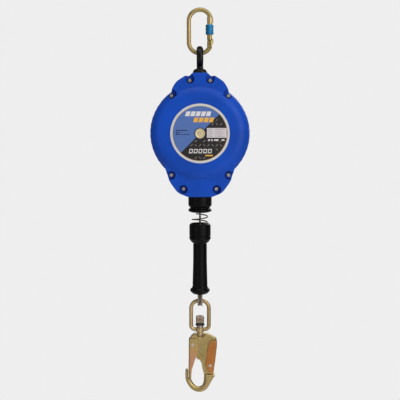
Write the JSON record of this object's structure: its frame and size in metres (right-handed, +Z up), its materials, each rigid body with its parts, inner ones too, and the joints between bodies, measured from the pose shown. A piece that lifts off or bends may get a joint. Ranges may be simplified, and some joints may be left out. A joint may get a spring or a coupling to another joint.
{
  "type": "self retracting lifeline",
  "caption": "Cable fall arrester block: round housing on a swivel eye and screw-lock carabiner, with a retracting wire rope, handle grip and swivelling snap hook.",
  "frame": {"origin": "inside of the carabiner's top bend, where it bears on the anchor", "axes": "+Z up along the hanging lifeline, -Y out of the front cover, +X to the right"},
  "size_m": [0.2256, 0.086, 0.8882],
  "materials": {
    "zinc_gold": "yellow zinc plated steel, satin",
    "zinc_link": "pale yellow zinc plated steel, satin",
    "zinc_copper": "iridescent orange zinc plated steel sheet",
    "blue_anodised": "blue anodised, satin",
    "black_steel": "black coated steel, semi-gloss",
    "blue_plastic": "moulded satin with a fine orange-peel",
    "bright_steel": "bright zinc plated",
    "label": null,
    "cap_gold": "pale gold zinc plated",
    "frame_steel": "zinc plated sheet steel",
    "drum_alloy": "die cast",
    "bronze": "sintered bronze",
    "spring_steel": "blued spring steel",
    "lining": "pressed friction lining",
    "cable": "galvanised wire rope, seven strands",
    "black_rubber": "moulded rubber, satin",
    "black_plastic": "moulded plastic, satin",
    "grey_steel": "grey-brown zinc plated steel",
    "dark_steel": "dark phosphated steel"
  },
  "bodies": {
    "carabiner": {"carabiner_body": "zinc_gold", "carabiner_gate_pin": "zinc_gold"},
    "carabiner_gate": {"carabiner_gate": "zinc_gold"},
    "carabiner_sleeve": {"carabiner_sleeve": "blue_anodised"},
    "swivel": {"swivel_eye": "black_steel", "swivel_collar": "black_steel", "swivel_thrust_washer": "frame_steel", "swivel_nut": "frame_steel"},
    "housing": {"front_cover": "blue_plastic", "rear_cover": "blue_plastic", "housing_screws": "bright_steel", "housing_nuts": "bright_steel", "front_label": "label", "rear_label": "label", "front_hub_cap": "cap_gold", "frame_plate_front": "frame_steel", "frame_plate_rear": "frame_steel", "frame_head": "frame_steel", "frame_spacers": "frame_steel", "frame_rivets": "frame_steel", "drum_shaft": "frame_steel", "shaft_nuts": "frame_steel", "spring_arbor": "frame_steel", "brake_backplate": "frame_steel", "brake_lining_outer": "lining", "ratchet_ring": "frame_steel", "brake_lining_inner": "lining", "brake_plate": "frame_steel", "brake_bolts": "bright_steel", "cable_outlet": "black_rubber"},
    "drum": {"cable_drum": "drum_alloy", "drum_bush_front": "bronze", "drum_bush_rear": "bronze", "cable_winding": "cable", "spring_case": "frame_steel", "spring_cover": "frame_steel", "recoil_spring": "spring_steel", "pawl_pins": "frame_steel", "pawl_springs": "spring_steel"},
    "pawl_a": {"pawl_a": "frame_steel"},
    "pawl_b": {"pawl_b": "frame_steel"},
    "lifeline": {"cable_run": "cable", "buffer_spring": "spring_steel", "handle_grip": "black_plastic", "spring_seat": "frame_steel", "cable_stop": "frame_steel", "cable_ferrule": "drum_alloy", "cable_loop": "cable", "thimble": "grey_steel"},
    "link": {"hook_link": "zinc_link"},
    "hook": {"hook_body": "zinc_gold", "hook_swivel_stud": "zinc_link", "hook_nut": "grey_steel", "indicator_collar": "dark_steel", "hook_washer": "bright_steel", "hook_gate_pin": "bright_steel", "hook_lever_pin": "bright_steel"},
    "hook_gate": {"hook_gate": "zinc_copper"},
    "hook_lever": {"hook_lever": "zinc_copper"}
  },
  "joints": [
    {"name": "carabiner_gate_hinge", "type": "hinge", "parent": "carabiner", "child": "carabiner_gate", "pos_m": [0.0216, 0, -0.071], "axis": [0, -1, 0], "range_deg": [0, 24], "stiffness_Nm_per_rad": 0.12, "springref_deg": -28.65},
    {"name": "carabiner_sleeve_travel", "type": "slide", "parent": "carabiner_gate", "child": "carabiner_sleeve", "axis": [0, 0, -1], "range_m": [0, 0.007]},
    {"name": "eye_swing", "type": "hinge", "parent": "carabiner", "child": "swivel", "pos_m": [0, 0, -0.092], "axis": [1, 0, 0], "range_deg": [-75, 75]},
    {"name": "housing_swivel", "type": "hinge", "parent": "swivel", "child": "housing", "pos_m": [0, 0, -0.15], "axis": [0, 0, 1], "continuous": true},
    {"name": "payout", "type": "slide", "parent": "housing", "child": "lifeline", "axis": [0, 0, -1], "range_m": [0, 9.9978], "stiffness_N_per_m": 0.6, "springref_m": -45, "deforming": ["cable_run"]},
    {"name": "drum_spin", "type": "hinge", "parent": "housing", "child": "drum", "pos_m": [0, 0, -0.2723], "axis": [0, 1, 0], "range_deg": [-5, 9365]},
    {"name": "pawl_a_swing", "type": "hinge", "parent": "drum", "child": "pawl_a", "pos_m": [0, -0.023, -0.2483], "axis": [0, -1, 0], "range_deg": [0, 15], "stiffness_Nm_per_rad": 0.02, "springref_deg": -34.38},
    {"name": "pawl_b_swing", "type": "hinge", "parent": "drum", "child": "pawl_b", "pos_m": [0, -0.023, -0.2963], "axis": [0, -1, 0], "range_deg": [0, 15], "stiffness_Nm_per_rad": 0.02, "springref_deg": -34.38},
    {"name": "link_swing", "type": "hinge", "parent": "lifeline", "child": "link", "pos_m": [0, 0, -0.6608], "axis": [1, 0, 0], "range_deg": [-75, 75]},
    {"name": "hook_swivel", "type": "hinge", "parent": "link", "child": "hook", "pos_m": [0, 0, -0.73], "axis": [0, 0, 1], "continuous": true},
    {"name": "hook_gate_hinge", "type": "hinge", "parent": "hook", "child": "hook_gate", "pos_m": [-0.0174, 0, -0.7629], "axis": [0, -1, 0], "range_deg": [0, 20], "stiffness_Nm_per_rad": 0.3, "springref_deg": -28.65},
    {"name": "hook_lever_press", "type": "hinge", "parent": "hook", "child": "hook_lever", "pos_m": [0.0237, 0, -0.8124], "axis": [0, -1, 0], "range_deg": [0, 7], "stiffness_Nm_per_rad": 0.5, "springref_deg": -17.19}
  ],
  "couplings": [
    {"joint": "drum_spin", "follows": "payout", "rad_per_m": 16.34}
  ]
}
